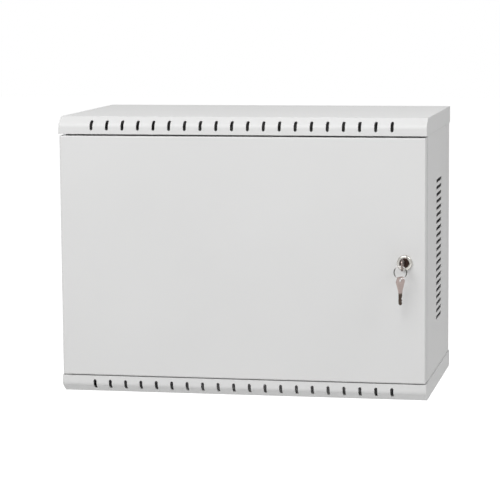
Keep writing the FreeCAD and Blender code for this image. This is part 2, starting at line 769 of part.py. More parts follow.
entry_plate = new_body("cable_entry_plate")
margin = "entry_plate_margin"
plate_low = f"(-{COVER_IN})"
add_box(entry_plate,
        (f"(-entry_width/2-{margin})", f"(entry_width/2+{margin})"),
        (f"(-entry_back-entry_depth/2-{margin})", f"(-entry_back+entry_depth/2+{margin})"),
        (plate_low, f"({plate_low}+panel_sheet)"))
entry_holes = new_sketch(entry_plate, "XY_Plane", f"({plate_low}+panel_sheet)")
for hand in (1, -1):
    draw_circle(entry_holes, (f"({hand}*{ENTRY_STUD_X})", "(-entry_back)"), STUD_HOLE)
add_pocket(entry_plate, entry_holes, "panel_sheet")
entry_places = [(f"({hand}*{ENTRY_STUD_X})", "(-entry_back)", plate_low) for hand in (1, -1)]
entry_studs, entry_nuts = add_studs("entry_plate", entry_places, ["+Z", "+Z"], "panel_sheet")


# ---- earth studs ----

def add_earth(prefix, spot, seat, axis):
    stud = make_cylinder("earth_radius", "earth_length", spot, axis)
    name_part(stud, f"{prefix}earth_stud")
    nut = make_nut("rail_nut_width", "rail_nut_height", "earth_radius", seat, axis)
    name_part(nut, f"{prefix}earth_nut")
    return stud, nut


earth_x = f"(-({PANEL_FACE}-earth_inset))"
earth_y = f"({STUD_FRONT})"
earth_stud, earth_nut = add_earth(
    "", (earth_x, earth_y, plate_low), (earth_x, earth_y, f"({plate_low}+fit_gap)"), "+Z")
door_earth_z = f"({DOOR_LOW}+earth_inset)"
door_earth_stud, door_earth_nut = add_earth(
    "door_", (earth_x, DOOR_SKIN, door_earth_z), (earth_x, f"({DOOR_SKIN}+fit_gap)", door_earth_z), "+Y")


# ---- door ----

door = new_body("door_panel")
add_box(door, (f"(-{PANEL_FACE})", PANEL_FACE), (FRONT, DOOR_BACK), (DOOR_LOW, DOOR_TOP))
add_fillet(door, "door_bend",
           lambda edge: edge.BoundBox.YLength < NEAR and is_near(edge.BoundBox.YMin, FRONT))
door_in_x = f"({PANEL_FACE}-door_sheet)"
door_in_low, door_in_top = f"({DOOR_LOW}+door_sheet)", f"({DOOR_TOP}-door_sheet)"
return_y = f"({DOOR_BACK}-door_sheet)"
pan = new_sketch(door, "XZ_Plane", f"-{DOOR_SKIN}")
draw_box(pan, f"(-{door_in_x})", door_in_x, door_in_low, door_in_top)
add_pocket(door, pan, "door_depth-2*door_sheet")
mouth = new_sketch(door, "XZ_Plane", f"-{return_y}")
mouth_x = f"({PANEL_FACE}-door_return)"
draw_box(mouth, f"(-{mouth_x})", mouth_x, f"({DOOR_LOW}+door_return)", f"({DOOR_TOP}-door_return)")
add_pocket(door, mouth, "door_sheet")
for level in (DOOR_TOP, door_in_low):
    pin_hole = new_sketch(door, "XY_Plane", level)
    draw_circle(pin_hole, (HINGE_X, HINGE_Y), PIN_HOLE)
    add_pocket(door, pin_hole, "door_sheet")
lock_hole = new_sketch(door, "XZ_Plane", f"-{FRONT}")
draw_flatted_circle(lock_hole, (LOCK_X, LOCK_Z),
                    "(barrel_radius+hole_clearance)", "(barrel_flat+hole_clearance)")
add_pocket(door, lock_hole, "door_sheet")

stiffener = new_body("door_stiffener")
crown = "(stiffener_width/2-stiffener_foot)"
crown_y = f"({DOOR_SKIN}+stiffener_depth)"
hat = new_sketch(stiffener, "XY_Plane", f"({door_in_low}+fit_gap)")
draw_polygon(hat, [
    ("(-stiffener_width/2)", DOOR_SKIN), (f"(-{crown}+door_sheet)", DOOR_SKIN),
    (f"(-{crown}+door_sheet)", f"({crown_y}-door_sheet)"),
    (f"({crown}-door_sheet)", f"({crown_y}-door_sheet)"),
    (f"({crown}-door_sheet)", DOOR_SKIN), ("(stiffener_width/2)", DOOR_SKIN),
    ("(stiffener_width/2)", f"({DOOR_SKIN}+door_sheet)"), (crown, f"({DOOR_SKIN}+door_sheet)"),
    (crown, crown_y), (f"(-{crown})", crown_y),
    (f"(-{crown})", f"({DOOR_SKIN}+door_sheet)"), ("(-stiffener_width/2)", f"({DOOR_SKIN}+door_sheet)"),
])
add_pad(stiffener, hat, f"{door_in_top}-{door_in_low}-2*fit_gap")

buffer_z = f"({DOOR_TOP}-buffer_inset)"
door_buffers = group("door_buffers", [
    make_cylinder("buffer_radius", "seal_gap-fit_gap", (STUD_X, PANEL_FRONT, f"({rise}*{buffer_z})"), "-Y")
    for rise in (1, -1)])


# ---- hinge pins ----

pin_end = f"({LIP}+cover_sheet+pin_reach)"
lower_pin = name_part(fuse(
    make_cylinder("pin_head_radius", "pin_head", (HINGE_X, HINGE_Y, door_in_low)),
    make_cylinder("pin_radius", f"{pin_end}+{door_in_low}", (HINGE_X, HINGE_Y, f"(-{pin_end})"))),
    "lower_hinge_pin")
washer_low = f"(-{LIP}+fit_gap)"
lower_washer = name_part(cut(
    make_cylinder("pin_head_radius", "door_rest-fit_gap", (HINGE_X, HINGE_Y, washer_low)),
    make_cylinder(PIN_HOLE, "door_rest-fit_gap", (HINGE_X, HINGE_Y, washer_low))),
    "lower_hinge_washer")

bracket = new_body("upper_pin_bracket")
bracket_x = f"(-{door_in_x})"
bracket_y = (f"({HINGE_Y}-pin_head_radius)", f"({HINGE_Y}+pin_head_radius)")
add_box(bracket, (bracket_x, f"({bracket_x}+bracket_sheet)"), bracket_y,
        (f"({PIN_LEG}-bracket_width)", f"({PIN_LEG}-bracket_sheet)"))
add_box(bracket, (bracket_x, f"({bracket_x}+bracket_width)"), bracket_y,
        (f"({PIN_LEG}-bracket_sheet)", PIN_LEG))
bracket_hole = new_sketch(bracket, "XY_Plane", PIN_LEG)
draw_circle(bracket_hole, (HINGE_X, HINGE_Y), PIN_HOLE)
add_pocket(bracket, bracket_hole, "bracket_sheet")


def make_lever_pin(top, bottom, reach, radius):
    """A round pin down the hinge axis whose lower end bends towards the middle of the door."""
    bend = 2 * radius
    x, y = value(HINGE_X), value(HINGE_Y)
    corner = FreeCAD.Vector(x, y, bottom)
    start = FreeCAD.Vector(x, y, top)
    above, beside = corner + FreeCAD.Vector(0, 0, bend), corner + FreeCAD.Vector(bend, 0, 0)
    middle = corner + FreeCAD.Vector(1, 0, 1) * (bend * (1 - math.cos(math.pi / 4)))
    tip = corner + FreeCAD.Vector(reach, 0, 0)
    path = Part.Wire([
        Part.LineSegment(start, above).toShape(),
        Part.Arc(above, middle, beside).toShape(),
        Part.LineSegment(beside, tip).toShape(),
    ])
    profile = Part.Wire([Part.Circle(start, FreeCAD.Vector(0, 0, 1), radius).toShape()])
    return path.makePipeShell([profile], True, False)


upper_pin = doc.addObject("Part::Feature", "upper_hinge_pin")
upper_pin.Shape = make_lever_pin(value(pin_end), value(f"{PIN_LEG}-bracket_sheet-pin_tail"),
                                 value("pin_lever"), value("pin_radius"))
collar_low = f"({door_in_top}-fit_gap-collar_height)"
upper_collar = name_part(cut(
    make_cylinder("pin_head_radius", "collar_height", (HINGE_X, HINGE_Y, collar_low)),
    make_cylinder("pin_radius+thread_fit", "collar_height", (HINGE_X, HINGE_Y, collar_low))),
    "upper_pin_collar")

WIRE_DEGREES = [45 * corner + 22.5 for corner in range(8)]


def make_spring(height, turns, radius, wire):
    """A compression spring of eight-sided wire about +Z: each half turn is half a ring, leaned to climb."""
    climb = height / turns / 2
    path = []
    for half_turn in range(2 * turns):
        side = 1 if half_turn % 2 == 0 else -1
        start = FreeCAD.Vector(side * radius, 0, half_turn * climb)
        middle = FreeCAD.Vector(0, side * math.hypot(radius, climb / 2), (half_turn + 0.5) * climb)
        end = FreeCAD.Vector(-side * radius, 0, (half_turn + 1) * climb)
        path.append(Part.Arc(start, middle, end).toShape())
    corners = [FreeCAD.Vector(radius + wire * math.cos(turn), 0, wire * math.sin(turn))
               for turn in map(math.radians, WIRE_DEGREES)]
    wire_end = Part.makePolygon(corners + corners[:1])
    return Part.Wire(path).makePipeShell([wire_end], True, False)


spring_low = value(f"{PIN_LEG}+spring_wire")
spring_height = value(f"{collar_low}-spring_wire") - spring_low
upper_spring = doc.addObject("Part::Feature", "upper_pin_spring")
upper_spring.Shape = make_spring(
    spring_height, int(value("spring_turns")), value("spring_radius-spring_wire"), value("spring_wire"))
upper_spring.Placement = FreeCAD.Placement(
    FreeCAD.Vector(value(HINGE_X), value(HINGE_Y), spring_low), FreeCAD.Rotation())


# ---- cam lock ----

lock_body = new_body("lock_body")
barrel = new_sketch(lock_body, "XZ_Plane", f"-{BARREL_END}")
draw_flatted_circle(barrel, (LOCK_X, LOCK_Z), "barrel_radius", "barrel_flat")
add_pad(lock_body, barrel, "barrel_length")
head = new_sketch(lock_body, "XZ_Plane", f"-{FRONT}")
draw_circle(head, (LOCK_X, LOCK_Z), "lock_head_radius")
add_pad(lock_body, head, "lock_head")
add_fillet(lock_body, "lock_rim",
           lambda edge: is_near(edge.BoundBox.YMax, LOCK_FACE) and edge.BoundBox.YLength < NEAR)
bore = new_sketch(lock_body, "XZ_Plane", f"-{BARREL_END}")
draw_circle(bore, (LOCK_X, LOCK_Z), "(plug_radius+plug_clearance)")
add_pocket(lock_body, bore, "barrel_length+lock_head", forward=True)
nut_spot = (LOCK_X, DOOR_SKIN, LOCK_Z)
lock_nut = name_part(
    make_nut("lock_nut_width", "lock_nut_height", "barrel_radius", nut_spot, "+Y"), "lock_nut")

plug_length = f"({BARREL_END}-{PLUG_FACE})"
square_half = "cam_square/2"
keyway_half = "(key_sheet/2+key_play)"
keyway_rise = "(key_blade_width/2+key_play)"
lock_plug = name_part(cut(
    fuse(
        make_cylinder("plug_radius", plug_length, (LOCK_X, PLUG_FACE, LOCK_Z), "+Y"),
        make_block((f"{LOCK_X}-{square_half}", f"{LOCK_X}+{square_half}"),
                   (BARREL_END, f"({CAM_BACK}-cam_clearance)"),
                   (f"{LOCK_Z}-{square_half}", f"{LOCK_Z}+{square_half}"))),
    make_block((f"{LOCK_X}-{keyway_half}", f"{LOCK_X}+{keyway_half}"),
               (PLUG_FACE, f"({KEY_SEAT}+key_blade+key_end_play)"),
               (f"{LOCK_Z}-{keyway_rise}", f"{LOCK_Z}+{keyway_rise}")),
    make_cylinder("cam_screw_radius+thread_fit", "cam_screw_length+fit_gap",
                  (LOCK_X, f"({CAM_BACK}-cam_clearance)", LOCK_Z), "-Y")),
    "lock_plug")

cam = new_body("lock_cam")
cam_sketch = new_sketch(cam, "XZ_Plane", f"-{CAM_BACK}")
draw_slot(cam_sketch, (LOCK_X, LOCK_Z), (LOCK_X, f"({LOCK_Z}-cam_reach+cam_width/2)"), "(cam_width/2)")
add_pad(cam, cam_sketch, "cam_sheet")
cam_hole = new_sketch(cam, "XZ_Plane", f"-({CAM_BACK}-cam_sheet)")
hole_half = "(cam_square/2+cam_clearance)"
draw_box(cam_hole, f"({LOCK_X}-{hole_half})", f"({LOCK_X}+{hole_half})",
         f"({LOCK_Z}-{hole_half})", f"({LOCK_Z}+{hole_half})")
add_pocket(cam, cam_hole, "cam_sheet")

screw_spot = (LOCK_X, f"({CAM_BACK}+cam_washer)", LOCK_Z)
cam_washer = name_part(cut(
    make_cylinder("cam_washer_radius", "cam_washer", (LOCK_X, CAM_BACK, LOCK_Z), "+Y"),
    make_cylinder("cam_screw_radius+thread_fit", "cam_washer", (LOCK_X, CAM_BACK, LOCK_Z), "+Y")),
    "cam_washer")
cam_screw = name_part(fuse(
    make_hexagon("stud_nut_width", "stud_nut_height", screw_spot, "+Y"),
    make_cylinder("cam_screw_radius", "cam_screw_length", screw_spot, "-Y")),
    "cam_screw")


# ---- keys and ring ----

def make_key(label):
    """A flat key about its shoulder: the blade runs along +Y and the tapered bow along -Y."""
    key = new_body(label)
    side = [
        ("key_blade", "key_tip_width/2"), ("(key_blade-key_blade_width/2)", "key_blade_width/2"),
        ("0", "key_blade_width/2"), ("0", "key_neck_width/2"), ("(-key_neck)", "key_neck_width/2"),
        ("(-key_bow_widest)", "key_bow_width/2"), ("(-key_bow)", "key_bow_end_width/2"),
    ]
    outline = new_sketch(key, "YZ_Plane", "(-key_sheet/2)")
    draw_polygon(outline, side + [(along, f"(-{rise})") for along, rise in reversed(side)])
    add_pad(key, outline, "key_sheet")
    add_fillet(key, "key_bow_corner",
               lambda edge: runs_along(edge, "X") and edge.BoundBox.YMax < -value("key_neck") - NEAR)
    hole = new_sketch(key, "YZ_Plane", "key_sheet/2")
    draw_circle(hole, (f"(-{KEY_HOLE_OUT})", "0"), "key_hole_radius")
    add_pocket(key, hole, "key_sheet")
    return key


lock_key = make_key("lock_key")
place(lock_key, (LOCK_X, KEY_SEAT, LOCK_Z))

key_ring = new_body("key_ring")
wire_section = new_sketch(key_ring, "XY_Plane", "0")
draw_polygon(wire_section, [
    (f"(ring_radius+ring_wire*cos({turn}))", f"(ring_wire*sin({turn}))") for turn in WIRE_DEGREES])
add_revolution(key_ring, wire_section)
place(key_ring, (RING_X, RING_Y, RING_Z))

spare_key = make_key("spare_key")
hang = FreeCAD.Rotation(FreeCAD.Vector(0, 0, 1), value("key_twist"))
blade_down = FreeCAD.Rotation(FreeCAD.Vector(1, 0, 0), -90)
spare_drop = f"(ring_radius+{WIRE_DROP})"
spare_key.Placement = FreeCAD.Placement(FreeCAD.Vector(0, 0, 0), hang * blade_down)
for axis, text in zip("xyz", (RING_X, RING_Y, f"({RING_Z}-{spare_drop}-{KEY_HOLE_OUT})")):
    bind(spare_key, f"Placement.Base.{axis}", text)

doc.recompute()


# ---- checks and files ----

PARTS = [
    top_cover, bottom_cover, side_panel_left, side_panel_right, back_panel,
    rack_rail_left, rack_rail_right, *depth_bars, rail_bolts, rail_nuts,
    cover_studs, cover_nuts, back_studs, back_nuts, flange_studs, flange_nuts,
    entry_plate, entry_studs, entry_nuts, earth_stud, earth_nut, door_buffers,
    door, stiffener, door_earth_stud, door_earth_nut, lower_pin, lower_washer, bracket,
    upper_pin, upper_collar, upper_spring, lock_body, lock_nut,
    lock_plug, cam, cam_washer, cam_screw, lock_key, key_ring, spare_key,
]

for thing in doc.Objects:
    if "Invalid" in thing.State or "Error" in thing.State:
        raise ValueError(f"{thing.Name} failed: {thing.State}")
for part in PARTS:
    if part.Shape.isNull() or not part.Shape.isValid():
        raise ValueError(f"{part.Label} has no valid shape")

os.makedirs("parts", exist_ok=True)
for part in PARTS:
    part.Shape.exportStep(f"parts/{part.Label}.step")
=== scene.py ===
import json
import math

import bmesh
import bpy
from mathutils import Euler, Matrix, Vector


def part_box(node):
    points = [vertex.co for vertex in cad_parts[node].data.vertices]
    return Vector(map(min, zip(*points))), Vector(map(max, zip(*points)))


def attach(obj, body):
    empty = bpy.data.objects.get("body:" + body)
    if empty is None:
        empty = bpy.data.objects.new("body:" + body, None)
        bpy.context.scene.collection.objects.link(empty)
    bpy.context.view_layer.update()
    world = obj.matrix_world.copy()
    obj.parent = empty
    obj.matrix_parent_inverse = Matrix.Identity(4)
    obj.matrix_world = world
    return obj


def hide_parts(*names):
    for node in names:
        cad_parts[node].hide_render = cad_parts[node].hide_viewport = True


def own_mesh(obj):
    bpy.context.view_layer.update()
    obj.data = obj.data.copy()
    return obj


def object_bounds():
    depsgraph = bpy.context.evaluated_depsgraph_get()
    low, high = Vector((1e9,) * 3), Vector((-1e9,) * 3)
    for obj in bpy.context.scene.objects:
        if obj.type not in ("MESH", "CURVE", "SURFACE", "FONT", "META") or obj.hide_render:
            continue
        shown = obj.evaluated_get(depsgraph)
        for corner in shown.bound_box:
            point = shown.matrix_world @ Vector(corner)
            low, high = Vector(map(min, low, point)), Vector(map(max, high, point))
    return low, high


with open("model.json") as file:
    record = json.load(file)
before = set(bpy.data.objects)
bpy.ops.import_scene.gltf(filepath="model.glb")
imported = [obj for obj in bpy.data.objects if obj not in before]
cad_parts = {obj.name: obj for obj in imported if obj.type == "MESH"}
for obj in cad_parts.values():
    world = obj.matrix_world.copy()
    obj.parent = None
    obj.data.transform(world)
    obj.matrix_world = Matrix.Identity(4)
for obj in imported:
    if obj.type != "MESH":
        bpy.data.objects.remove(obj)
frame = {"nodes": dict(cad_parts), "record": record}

scene = bpy.context.scene
nodes = frame["nodes"]
record = frame["record"]
slots = {part["node"]: part["material_slot"] for part in record["subparts"]}
body_of_node = {
    node: body for body, members in record["behaviour"]["bodies"].items() for node in members}
cad_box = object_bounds()


def middle_of(box):
    return (Vector(box[0]) + Vector(box[1])) / 2


def add_object(name, data):
    made = bpy.data.objects.new(name, data)
    scene.collection.objects.link(made)
    return made


cad_middle = middle_of(cad_box)


# ---- camera ----

CAMERA_PLACE = (0.6341, -3.3909, 0.4034)
CAMERA_ANGLES = (82.918, 0.421, 11.309)
CAMERA_LENS = 158.18
SENSOR_WIDTH = 36.0
CLIP_START = 0.05

lens = bpy.data.cameras.new("camera")
lens.lens = CAMERA_LENS
lens.sensor_width = SENSOR_WIDTH
lens.clip_start = CLIP_START
camera = add_object("camera", lens)
camera.location = CAMERA_PLACE
camera.rotation_euler = Euler([math.radians(angle) for angle in CAMERA_ANGLES])
scene.camera = camera


# ---- shader helpers ----

# the two colour inputs and the colour output of a Mix node
MIX_FIRST, MIX_SECOND, MIX_RESULT = 6, 7, 2
BEVEL_SAMPLES = 4


class Shader:
    """A material's node tree, built with short calls."""

    def __init__(self, name):
        self.material = bpy.data.materials.new(name)
        self.material.use_nodes = True
        self.tree = self.material.node_tree
        self.tree.nodes.clear()
        self.surface = self.add("ShaderNodeBsdfPrincipled")
        output = self.add("ShaderNodeOutputMaterial")
        self.link(self.surface.outputs[0], output.inputs["Surface"])
        self.place = self.add("ShaderNodeTexCoord").outputs["Object"]

    def add(self, kind, **settings):
        made = self.tree.nodes.new(kind)
        for name, setting in settings.items():
            setattr(made, name, setting)
        return made

    def link(self, source, target):
        self.tree.links.new(source, target)

    def set(self, **numbers):
        """Sets inputs of the surface, named with _ for each space."""
        for name, number in numbers.items():
            self.surface.inputs[name.replace("_", " ")].default_value = number

    def stretched(self, scale):
        """Object coordinates, scaled apart along X, Y and Z."""
        mapping = self.add("ShaderNodeMapping")
        mapping.inputs["Scale"].default_value = scale
        self.link(self.place, mapping.inputs["Vector"])
        return mapping.outputs[0]

    def noise(self, scale, detail, place=None, roughness=0.5):
        """Noise of about scale waves to a metre, or to a unit of place."""
        made = self.add("ShaderNodeTexNoise")
        made.inputs["Scale"].default_value = scale
        made.inputs["Detail"].default_value = detail
        made.inputs["Roughness"].default_value = roughness
        self.link(place or self.place, made.inputs["Vector"])
        return made.outputs["Fac"]

    def ramp(self, factor, low, high, start=0.0, end=1.0):
        """A colour or number that runs from low to high as the factor runs from start to end."""
        made = self.add("ShaderNodeMapRange", clamp=True)
        self.link(factor, made.inputs["Value"])
        made.inputs["From Min"].default_value = start
        made.inputs["From Max"].default_value = end
        if isinstance(low, tuple):
            return self.mix(made.outputs[0], low, high)
        made.inputs["To Min"].default_value = low
        made.inputs["To Max"].default_value = high
        return made.outputs[0]

    def mix(self, factor, first, second):
        """Blends two colours, each a tuple or a socket."""
        made = self.add("ShaderNodeMix", data_type="RGBA")
        self.link(factor, made.inputs["Factor"])
        for index, source in ((MIX_FIRST, first), (MIX_SECOND, second)):
            if isinstance(source, tuple):
                made.inputs[index].default_value = (*source, 1)
            else:
                self.link(source, made.inputs[index])
        return made.outputs[MIX_RESULT]

    def bump(self, height, depth, strength, below=None):
        """Surface relief, depth metres high; below is the relief or the edges under this one."""
        made = self.add("ShaderNodeBump")
        made.inputs["Strength"].default_value = strength
        made.inputs["Distance"].default_value = depth
        self.link(height, made.inputs["Height"])
        if below:
            self.link(below, made.inputs["Normal"])
        return made.outputs[0]

    def soft_edges(self, radius):
        """Normals that are rounded over the edges, as bent or polished sheet has."""
        made = self.add("ShaderNodeBevel", samples=BEVEL_SAMPLES)
        made.inputs["Radius"].default_value = radius
        return made.outputs[0]

    def finish(self, colour, roughness=None, normal=None):
        inputs = {"Base Color": colour, "Roughness": roughness, "Normal": normal}
        for name, source in inputs.items():
            if source:
                self.link(source, self.surface.inputs[name])
        return self.material


def shade(colour, factor):
    return tuple(channel * factor for channel in colour)


# ---- materials ----

# most of a noise's values lie between these two
NOISE_SPAN = (0.3, 0.7)
COATED_EDGE = 0.0006
PLATED_EDGE = 0.0002


def powder_coat(name, colour):
    """Fine matte powder coat: a faint orange peel, tiny grains, drifts of tone and thin edges."""
    look = Shader(name)
    drift = look.noise(5.0, detail=3.0)
    grain = look.noise(2600.0, detail=1.0)
    peel = look.noise(620.0, detail=2.0)
    tone = look.ramp(drift, shade(colour, 0.985), shade(colour, 1.012), *NOISE_SPAN)
    specks = look.ramp(grain, 0.0, 0.05, start=0.55, end=0.8)
    tone = look.mix(specks, tone, shade(colour, 0.8))
    relief = look.bump(peel, depth=0.00005, strength=0.35, below=look.soft_edges(COATED_EDGE))
    relief = look.bump(grain, depth=0.00001, strength=0.3, below=relief)
    look.set(Specular_IOR_Level=0.4)
    return look.finish(tone, look.ramp(grain, 0.50, 0.62, *NOISE_SPAN), relief)


def plated_steel(name, colour, brush, roughness, dark_bands=()):
    """Zinc or nickel plate, brushed along one way, with cloudy patches.

    A dark band is an axis, where along it the band starts and is full, and its colour; the ring's
    bands are painted shade.
    """
    look = Shader(name)
    streaks = look.noise(1.0, detail=3.0, place=look.stretched(brush))
    clouds = look.noise(60.0, detail=4.0)
    tone = look.ramp(clouds, shade(colour, 0.9), shade(colour, 1.08), *NOISE_SPAN)
    dark_streaks = look.ramp(streaks, 0.0, 0.25, start=0.35, end=0.75)
    tone = look.mix(dark_streaks, tone, shade(colour, 0.75))
    split = look.add("ShaderNodeSeparateXYZ")
    look.link(look.place, split.inputs[0])
    for axis, start, full, band_colour in dark_bands:
        tone = look.mix(look.ramp(split.outputs[axis], 0.0, 1.0, start, full), tone, band_colour)
    look.set(Metallic=1.0)
    relief = look.bump(streaks, depth=0.000008, strength=0.5, below=look.soft_edges(PLATED_EDGE))
    return look.finish(
        tone, look.ramp(streaks, roughness - 0.06, roughness + 0.1, *NOISE_SPAN), relief)


def chrome(name, colour):
    """Polished plate with hairline scratches and a little haze."""
    look = Shader(name)
    brush = look.stretched((900.0, 120.0, 2200.0))
    scratches = look.noise(1.0, detail=4.0, place=brush, roughness=0.7)
    haze = look.noise(300.0, detail=2.0)
    tone = look.ramp(haze, shade(colour, 0.96), colour, start=0.35, end=0.65)
    relief = look.bump(scratches, depth=0.000003, strength=0.4, below=look.soft_edges(PLATED_EDGE))
    look.set(Metallic=1.0)
    return look.finish(tone, look.ramp(scratches, 0.1, 0.24, start=0.55, end=0.85), relief)


def moulded(name, colour, roughness):
    """Moulded rubber or plastic with a fine grain."""
    look = Shader(name)
    grain = look.noise(1500.0, detail=3.0)
    clouds = look.noise(90.0, detail=2.0)
    tone = look.ramp(clouds, shade(colour, 0.85), shade(colour, 1.15), *NOISE_SPAN)
    relief = look.bump(grain, depth=0.00003, strength=0.5)
    return look.finish(
        tone, look.ramp(grain, roughness - 0.08, roughness + 0.08, *NOISE_SPAN), relief)


KEY_STEEL = (0.36, 0.295, 0.275)
# the keys' blades are near black brown from the shoulder on, darker than their bows
KEY_BLADE_DARK = (0.06, 0.043, 0.034)
KEY_BRUSH = (90.0, 90.0, 1400.0)
KEY_ROUGHNESS = 0.36
# painted shade: the key in the lock is a darker copy of the key steel, for the dark reflection it
# shows
LOCK_KEY_SHADE = 0.62
BLADE_DARK_BLUR = 0.0012

BLADE_LENGTH = 0.017
lock_key_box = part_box("lock_key")
spare_key_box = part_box("spare_key")
lock_shoulder = lock_key_box[1][1] - BLADE_LENGTH
spare_shoulder = spare_key_box[0][2] + BLADE_LENGTH

# painted shade: the ring's two sides are painted dark and its top and bottom keep the bright plate,
# as the wire looks under the light from above
RING_SHADE_START = 0.0055
RING_SHADE_FULL = 0.008
RING_SIDE_SHADE = (0.09, 0.092, 0.085)
ring_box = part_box("key_ring")
ring_middle = middle_of(ring_box)

LOOKS = {
    "grey_powder_coat": powder_coat("grey_powder_coat", (0.725, 0.725, 0.722)),
    "zinc_steel": plated_steel(
        "zinc_steel", (0.60, 0.61, 0.63), brush=(30.0, 30.0, 900.0), roughness=0.34),
    "chrome": chrome("chrome", (0.50, 0.485, 0.455)),
    "lock_core": plated_steel(
        "lock_core", (0.045, 0.028, 0.024), brush=(900.0, 900.0, 60.0), roughness=0.38),
    "key_steel": plated_steel(
        "key_steel", KEY_STEEL, KEY_BRUSH, KEY_ROUGHNESS,
        [("Z", spare_shoulder + BLADE_DARK_BLUR, spare_shoulder - BLADE_DARK_BLUR, KEY_BLADE_DARK)]),
    # painted shade on the ring's wire, dark at its two sides
    "wire_steel": plated_steel(
        "wire_steel", (0.55, 0.53, 0.52), brush=(400.0, 400.0, 400.0), roughness=0.3,
        dark_bands=[("X", ring_middle.x + side * RING_SHADE_START, ring_middle.x + side * RING_SHADE_FULL,
                 RING_SIDE_SHADE) for side in (-1, 1)]),
    "black_rubber": moulded("black_rubber", (0.03, 0.03, 0.03), roughness=0.75),
    "white_plastic": moulded("white_plastic", (0.72, 0.72, 0.70), roughness=0.4),
}
# painted shade: a darker copy of the key steel for the key in the lock
lock_key_shaded_look = plated_steel(
    "lock_key_steel_shaded", shade(KEY_STEEL, LOCK_KEY_SHADE), KEY_BRUSH, KEY_ROUGHNESS,
    [("Y", lock_shoulder - BLADE_DARK_BLUR, lock_shoulder + BLADE_DARK_BLUR, KEY_BLADE_DARK)])

for name, node in nodes.items():
    for holder in node.material_slots:
        holder.link = "OBJECT"
        holder.material = LOOKS[slots[name]]


# ---- meshes and pieces ----

SHARP_ANGLE = 32.0


def add_piece(name, mesh, node, look=None):
    """Shows the mesh in place of the CAD node, on the node's body and in its material slot."""
    mesh.materials.clear()
    mesh.materials.append(look or LOOKS[slots[node]])
    for face in mesh.polygons:
        face.use_smooth = True
    mesh.set_sharp_from_angle(angle=math.radians(SHARP_ANGLE))
    piece = add_object(name, mesh)
    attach(piece, body_of_node[node])
    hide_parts(node)
    return piece


def mesh_of(shell, name):
    """The shell as a mesh, with its faces turned outwards."""
    bmesh.ops.recalc_face_normals(shell, faces=shell.faces)
    mesh = bpy.data.meshes.new(name)
    shell.to_mesh(mesh)
    shell.free()
    return mesh


def skin(shell, loops, closed):
    """Adds the faces between loops of corners, and caps the ends if the loops don't close."""
    followers = loops[1:] + loops[:1] if closed else loops[1:]
    for low, high in zip(loops, followers):
        for corner in range(len(low)):
            beside = (corner + 1) % len(low)
            shell.faces.new((low[corner], low[beside], high[beside], high[corner]))
    if not closed:
        shell.faces.new(list(reversed(loops[0])))
        shell.faces.new(loops[-1])


# ---- turned pieces, from rings about +Z ----

# a ring is a function of the turn that gives a radius and a height
CORNERS_AROUND = 24
HEX_TURN = math.radians(60.0)


def level(radius, height):
    return lambda turn: (radius, height)


def hex_reach(turn, flat):
    """How far a hexagon's side is from its middle at this turn; flat is how far its flats are."""
    return flat / math.cos((turn + HEX_TURN / 2) % HEX_TURN - HEX_TURN / 2)


def add_rings(shell, rings, to_world):
    """Adds the rings' corners and returns them, a loop for each ring."""
    loops = []
    for ring in rings:
        loop = []
        for step in range(CORNERS_AROUND):
            turn = math.tau * step / CORNERS_AROUND
            radius, height = ring(turn)
            corner = Vector((radius * math.cos(turn), radius * math.sin(turn), height))
            loop.append(shell.verts.new(to_world @ corner))
        loops.append(loop)
    return loops


NUT_SHOULDER = 0.95
NUT_SINK = 0.12
CHAMFER_RISE = math.tan(math.radians(30.0))


def add_nut(shell, to_world, flat, height, bore):
    """A hexagon nut from 0 to height, with chamfered corners and a countersunk bore."""
    shoulder = NUT_SHOULDER * flat
    sink = NUT_SINK * bore

    def rim(end, way):
        def ring(turn):
            reach = hex_reach(turn, flat)
            return reach, end - way * (reach - shoulder) * CHAMFER_RISE
        return ring

    loops = add_rings(shell, [
        level(bore, sink), level(bore + sink, 0), level(shoulder, 0), rim(0, -1), rim(height, 1),
        level(shoulder, height), level(bore + sink, height), level(bore, height - sink),
    ], to_world)
    skin(shell, loops, closed=True)


THREAD_DEPTH = 0.5
RINGS_A_PITCH = 4


def threaded(radius, length, pitch):
    """Rings of a shank with a screw thread, chamfered at its far end."""
    start = depth = THREAD_DEPTH * pitch
    count = max(2, round(RINGS_A_PITCH * (length - start) / pitch))
    rings = [level(radius, 0)]
    for step in range(count + 1):
        height = start + (length - start) * step / count
        taper = max(0.0, height - (length - depth))

        def ring(turn, height=height, taper=taper):
            climb = (height / pitch - turn / math.tau) % 1
            groove = depth * (1 - abs(2 * climb - 1))
            return radius - max(groove, taper), height
        rings.append(ring)
    return rings


def add_stud(shell, to_world, radius, length, pitch):
    skin(shell, add_rings(shell, threaded(radius, length, pitch), to_world), closed=False)


# a button head: shares of its radius and height from the crown down to its rim
BUTTON_HEAD = [(0.55, 1.0), (0.76, 0.88), (0.93, 0.6), (1.0, 0.25), (1.0, 0.0)]
# its hexagon socket: a share of the head's radius, and how far down it starts and ends
SOCKET_SIZE = 0.42
SOCKET_FLOOR = 0.35
DRILL_TIP_SIZE = 0.05
DRILL_TIP = 0.3


def add_socket_bolt(shell, to_world, radius, length, head_radius, head, pitch):
    """A button head bolt: the head is below 0, with a hexagon socket, and the thread above."""
    socket = SOCKET_SIZE * head_radius

    def key_hole(height):
        return lambda turn: (hex_reach(turn, socket), height)

    rings = [level(DRILL_TIP_SIZE * socket, -DRILL_TIP * head), key_hole(-SOCKET_FLOOR * head),
             key_hole(-head)]
    rings += [level(across * head_radius, -up * head) for across, up in BUTTON_HEAD]
    rings += threaded(radius, length, pitch)
    skin(shell, add_rings(shell, rings, to_world), closed=False)


# ---- where the small solids are ----

# corners that agree to this many digits of a metre are one corner
WELD_DIGITS = 6
SORT_DIGITS = 5


